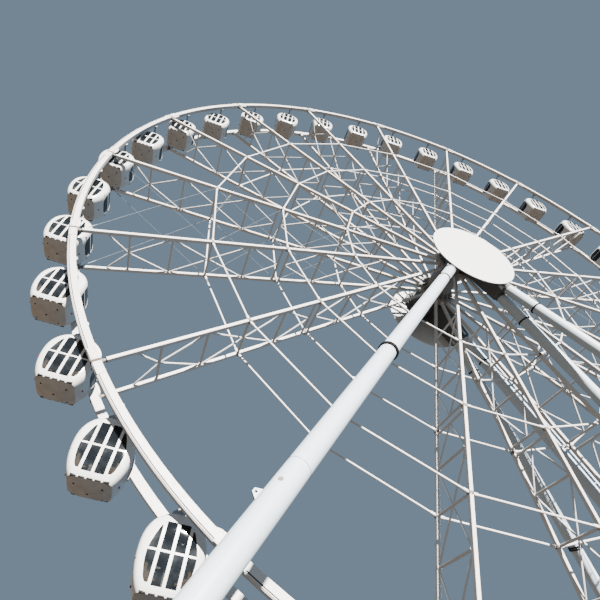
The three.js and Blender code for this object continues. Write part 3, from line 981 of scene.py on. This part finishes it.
def ladder(form, front, right, sizes, ground):
    """The service ladder on a leg's upper side: a stepped tray between stringers, with a rail at two heights."""
    upper = leg_outwards(right, sizes)

    def at(along, out, across):
        return on_leg(front, right, sizes, along) + upper * out + AXLE * across

    first, last = LADDER_TOP, ground - 0.3
    low, high = LADDER_TRAY
    for across in (-LADDER_HALF, LADDER_HALF):
        edge = [at(first, out, across + wide) for out, wide in
                ((low, -0.02), (high, -0.02), (high, 0.02), (low, 0.02))]
        run = at(last, low, 0) - at(first, low, 0)
        form.loft([edge, [corner + run for corner in edge]])
    for along in np.arange(first + 0.1, last, 0.3):
        form.tube(at(along, LADDER_STEPS, -LADDER_HALF), at(along, LADDER_STEPS, LADDER_HALF), RUNG_RADIUS, 8, 3)
    for along in np.arange(first + 0.2, last, 2.0):
        for across in (-LADDER_HALF, LADDER_HALF):
            form.tube(at(along, 0.24, across * 0.6), at(along, 0.42, across), 0.03, 8)
        form.tube(at(along, LADDER_STEPS, -LADDER_HALF), at(along, *LADDER_RAILS[-1]), RUNG_RADIUS, 8)
    for out, across in LADDER_RAILS:
        form.tube(at(first + 0.2, out, across), at(last - 0.2, out, across), RUNG_RADIUS, 8)
    hoop = [at(first - 0.15 + 0.2 * math.sin(t), 0.3 + 0.34 * math.sin(t), 0.3 * math.cos(t))
            for t in np.linspace(0, math.pi, 9)]
    for start, stop in zip(hoop, hoop[1:]):
        form.tube(start, stop, 0.05, 10)


def shoulder(form, front, right):
    """The tapered box that joins a head's drum to one pair of legs."""
    rings = []
    for section in (SHOULDER_TOP, SHOULDER_END):
        corners = []
        for across, y in ((-1, "near"), (1, "near"), (1, "far"), (-1, "far")):
            width = across * section["half"]
            x = right * (section["along"] * math.sin(SHOULDER_TILT) + width * math.cos(SHOULDER_TILT))
            z = -section["along"] * math.cos(SHOULDER_TILT) + width * math.sin(SHOULDER_TILT)
            corners.append((x, front * section[y], z))
        rings.append(corners)
    form.loft(rings)


def head(end, front):
    """A head: the bearing drum with its flange and two shoulders, and the four leg stubs."""
    form = Form()
    inner, outer = AXLE * front * HEAD_INNER, AXLE * front * HEAD_OUTER
    depth = HEAD_OUTER - HEAD_INNER
    drum = [(0, 0.7), (0.02, DRUM_RADIUS), (depth - DRUM_FLANGE - 0.02, DRUM_RADIUS),
            (depth - DRUM_FLANGE, DRUM_FLANGE_RADIUS - 0.01), (depth - 0.01, DRUM_FLANGE_RADIUS),
            (depth, DRUM_FLANGE_RADIUS - 0.02)]
    form.turned(inner, outer, drum, 64)
    for turn in np.arange(0, 2 * math.pi, math.pi / 12):
        bolt = on_wheel(turn, DRUM_FLANGE_RADIUS - 0.14, front * (HEAD_OUTER - DRUM_FLANGE - 0.06))
        form.tube(bolt, bolt + AXLE * front * 0.08, 0.04, 6, 3)
    for _, right in HANDS:
        shoulder(form, front, right)
        for sizes in (OUTER_LEG, INNER_LEG):
            start, stop = on_leg(front, right, sizes, STUB_START), on_leg(front, right, sizes, STUB_END)
            stretch = math.dist(start, stop) / (STUB_END - STUB_START)
            form.tube(start, stop, LEG_RADIUS, 56, 1)
            begin = (STUB_END - STUB_FLANGE - STUB_START) * stretch
            ring = [(begin + way * stretch, STUB_FLANGE_RADIUS) for way in (0, STUB_FLANGE)]
            form.turned(start, stop, ring, 56, 2)
            collar = (SHOULDER_END["along"] - STUB_START) * stretch
            half = [(collar - 0.04, LEG_RADIUS + 0.005), (collar, LEG_RADIUS + 0.02)]
            form.turned(start, stop, mirrored(half, 2 * collar + 0.1), 56)
    finishes = [HEAD, LEG, FLANGE, GALVANISED]
    piece(f"{end}_head_steel", form, finishes, "tower", [f"{end}_head"])


def disc(end, front):
    """A plain round disc with an eased edge, on its head's outer face."""
    form = Form()
    near = (0, front * (HEAD_OUTER + SEAT_GAP), -DISC_DROP)
    far = (0, front * (HEAD_OUTER + SEAT_GAP + DISC_THICKNESS), -DISC_DROP)
    form.turned(near, far, mirrored([(0, DISC_RADIUS - 0.012), (0.012, DISC_RADIUS)], DISC_THICKNESS), 128)
    piece(f"{end}_disc_sheet", form, [DISC], "tower", [f"{end}_disc"])


def level_box(node):
    """A node's lowest and highest corner in real metres from the hub's centre."""
    return [np.array(corner) / REAL - (0, 0, HUB_HEIGHT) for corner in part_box(node)]


def base(hand, right):
    """A base frame: a top plate on long beams and cross beams, over timber packing on the floor."""
    form = Form()
    low, high = level_box(f"{hand}_base")
    plate, pack = 0.05, 0.09
    form.block((low[0], low[1], high[2] - plate), high, 0.008)
    beams = np.linspace(low[0] + 0.2, high[0] - 0.2, 4)
    for x in beams:
        form.block((x - 0.13, low[1] + 0.03, low[2] + pack), (x + 0.13, high[1] - 0.03, high[2] - plate + 0.01), 0.012)
    foot, top = low[2] + pack + 0.04, high[2] - plate + 0.005
    for y in np.linspace(low[1] + 0.16, high[1] - 0.16, 13):
        form.block((low[0] + 0.05, y - 0.07, foot), (high[0] - 0.05, y + 0.07, top))
        for x in beams:
            form.block((x - 0.22, y - 0.22, low[2]), (x + 0.22, y + 0.22, low[2] + pack + 0.01), 0.012, 1)
    for x in (low[0] + 0.06, high[0] - 0.06):
        for y in np.linspace(low[1] + 0.35, high[1] - 0.35, 24):
            form.tube((x, y, high[2] - 0.01), (x, y, high[2]), 0.03, 6, 2)
    piece(f"{hand}_base_frame", form, [BASE, TIMBER, GALVANISED], "tower", [f"{hand}_base"])


def platform():
    """The boarding platform: ribbed deck panels in a steel edge, on cross bearers and screw feet."""
    form = Form()
    low, high = level_box("boarding_platform")
    rim_height = 0.2
    for y in (low[1], high[1] - 0.08):
        form.block((low[0], y, high[2] - rim_height), (high[0], y + 0.08, high[2]), 0.008, 1)
    for x in (low[0], high[0] - 0.08):
        form.block((x, low[1] + 0.08, high[2] - rim_height), (x + 0.08, high[1] - 0.08, high[2]), 0.008, 1)
    form.block((low[0] + 0.07, low[1] + 0.07, high[2] - 0.06), (high[0] - 0.07, high[1] - 0.07, high[2] - 0.03), 0.004)
    panels = np.linspace(low[0] + 0.08, high[0] - 0.08, 13)
    for start, stop in zip(panels, panels[1:]):
        for y0, y1 in ((low[1] + 0.09, -0.01), (0.01, high[1] - 0.09)):
            form.block((start + 0.01, y0, high[2] - 0.04), (stop - 0.01, y1, high[2] - 0.012), 0.004)
            for x in np.arange(start + 0.09, stop - 0.05, 0.12):
                form.block((x - 0.018, y0 + 0.03, high[2] - 0.014), (x + 0.018, y1 - 0.03, high[2]), 0.003)
    for x in panels:
        form.block((x - 0.06, low[1] + 0.05, high[2] - 0.24), (x + 0.06, high[1] - 0.05, high[2] - 0.05), 0.008, 1)
        for y in np.linspace(low[1] + 0.25, high[1] - 0.25, 3):
            form.tube((x, y, low[2] + 0.02), (x, y, high[2] - 0.2), 0.045, 10, 2)
            form.block((x - 0.16, y - 0.16, low[2]), (x + 0.16, y + 0.16, low[2] + 0.035), 0.006, 1)
    piece("boarding_platform_deck", form, [DECK, BASE, GALVANISED], "tower", ["boarding_platform"])


# Stage


def stage():
    """A plain pale floor that neither shades nor colours what stands on it."""
    mesh = bpy.data.meshes.new("floor")
    corners = [(x * FLOOR_HALF, y * FLOOR_HALF, 0) for x, y in ((-1, -1), (1, -1), (1, 1), (-1, 1))]
    mesh.from_pydata(corners, [], [(0, 1, 2, 3)])
    mesh.materials.append(pale_floor())
    floor = new_object("floor", mesh)
    floor.visible_diffuse = False
    floor.visible_shadow = False
    floor.visible_glossy = False


def studio():
    """A soft sun, cool light from the bright side and warm light from the other, and a backdrop that only the camera
    sees."""
    world = bpy.data.worlds.new("studio")
    bpy.context.scene.world = world
    world.use_nodes = True
    tree = world.node_tree
    tree.nodes.clear()

    def node(kind, **sockets):
        made = tree.nodes.new(kind)
        for name, value in sockets.items():
            made.inputs[name.replace("_", " ")].default_value = value
        return made

    def join(output, socket):
        tree.links.new(output, socket)

    seen = node("ShaderNodeBackground", Color=BACKDROP)
    above = node("ShaderNodeBackground", Color=SKY_LIGHT, Strength=SKY_STRENGTH)
    below = node("ShaderNodeBackground", Color=GROUND_LIGHT, Strength=GROUND_STRENGTH)
    way, bright = node("ShaderNodeTexCoord"), node("ShaderNodeVectorMath")
    bright.operation = "DOT_PRODUCT"
    bright.inputs[1].default_value = BRIGHT_SIDE
    height = node("ShaderNodeMapRange", From_Min=-LIGHT_BLEND, From_Max=LIGHT_BLEND)
    height.interpolation_type = "SMOOTHSTEP"
    path, output = node("ShaderNodeLightPath"), node("ShaderNodeOutputWorld")
    light, mix = node("ShaderNodeMixShader"), node("ShaderNodeMixShader")
    join(way.outputs["Generated"], bright.inputs[0])
    join(bright.outputs["Value"], height.inputs["Value"])
    join(height.outputs[0], light.inputs[0])
    join(below.outputs[0], light.inputs[1])
    join(above.outputs[0], light.inputs[2])
    join(path.outputs["Is Camera Ray"], mix.inputs[0])
    join(light.outputs[0], mix.inputs[1])
    join(seen.outputs[0], mix.inputs[2])
    join(mix.outputs[0], output.inputs["Surface"])
    key = bpy.data.lights.new("key", "SUN")
    key.energy = SUN_STRENGTH
    key.angle = SUN_ANGLE
    key.color = SUN_COLOR
    key.cycles.max_bounces = 0
    lamp = new_object("key", key)
    lamp.rotation_mode = "QUATERNION"
    lamp.rotation_quaternion = Vector(SUN_FROM).to_track_quat("Z", "Y")


def camera():
    made = new_object("camera", bpy.data.cameras.new("camera"))
    right, forward = Vector(CAMERA_RIGHT).normalized(), Vector(CAMERA_FORWARD).normalized()
    up = right.cross(forward)
    turn = Matrix((right, up, -forward)).transposed().to_4x4()
    place = Vector(HUB) + Vector(CAMERA_PLACE) * RIM_RADIUS * REAL
    made.matrix_world = Matrix.Translation(place) @ turn
    made.data.sensor_width = CAMERA_SENSOR
    made.data.lens = CAMERA_LENS
    made.data.shift_x, made.data.shift_y = CAMERA_SHIFT
    made.data.clip_end = CAMERA_REACH
    bpy.context.scene.camera = made


for end, side in ENDS:
    rim(end, side)
for index in range(SECTORS):
    spoke_sector(index)
bracing_cables()
hub()
cabins()
for end, front in ENDS:
    head(end, front)
    disc(end, front)
    for hand, right in HANDS:
        leg(end, front, hand, right, "outer", OUTER_LEG)
        leg(end, front, hand, right, "inner", INNER_LEG)
for hand, right in HANDS:
    base(hand, right)
platform()
stage()
studio()
camera()
